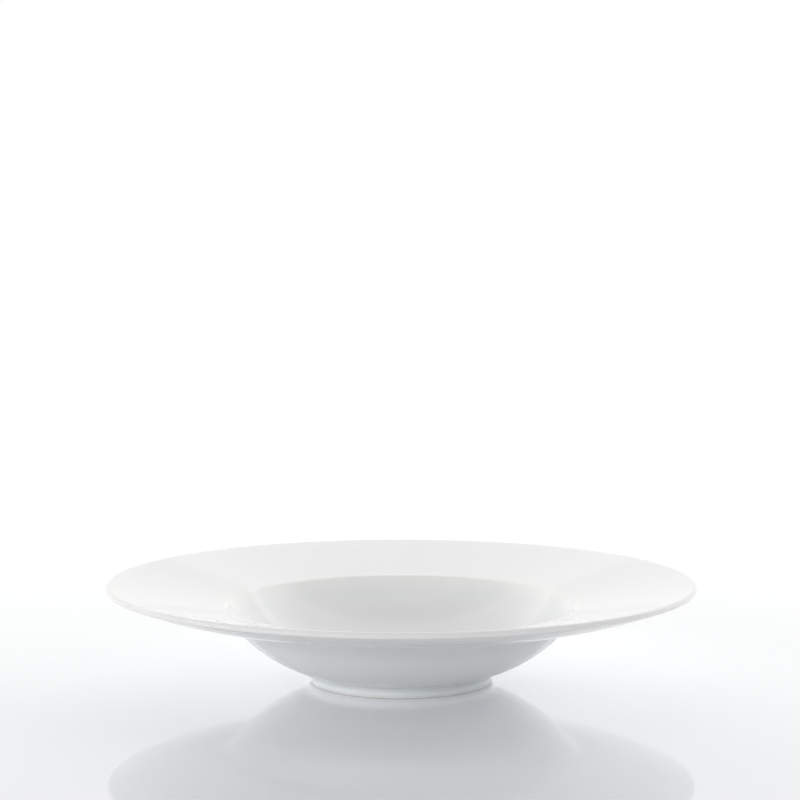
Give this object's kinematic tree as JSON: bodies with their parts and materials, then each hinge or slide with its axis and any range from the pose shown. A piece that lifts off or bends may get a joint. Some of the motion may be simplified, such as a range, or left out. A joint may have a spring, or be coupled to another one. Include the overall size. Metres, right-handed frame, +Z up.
{
  "type": "pasta bowl",
  "caption": "Deep round porcelain pasta bowl with a wide, gently rising rim, a curved well and a low foot ring; white gloss glaze, bare standing edge.",
  "frame": {"origin": "centre of the foot ring on the standing plane", "axes": "+Z up along the bowl's axis of turning; X and Y are alike"},
  "size_m": [0.3, 0.3, 0.052],
  "materials": {
    "bare_porcelain": "fired and unglazed, fine matte grain, polished smooth on the standing edge",
    "white_glaze": "clear gloss glaze over white porcelain"
  },
  "bodies": {
    "root": {"porcelain_body": "bare_porcelain", "glaze_coat": "white_glaze", "base_glaze": "white_glaze"}
  },
  "joints": []
}
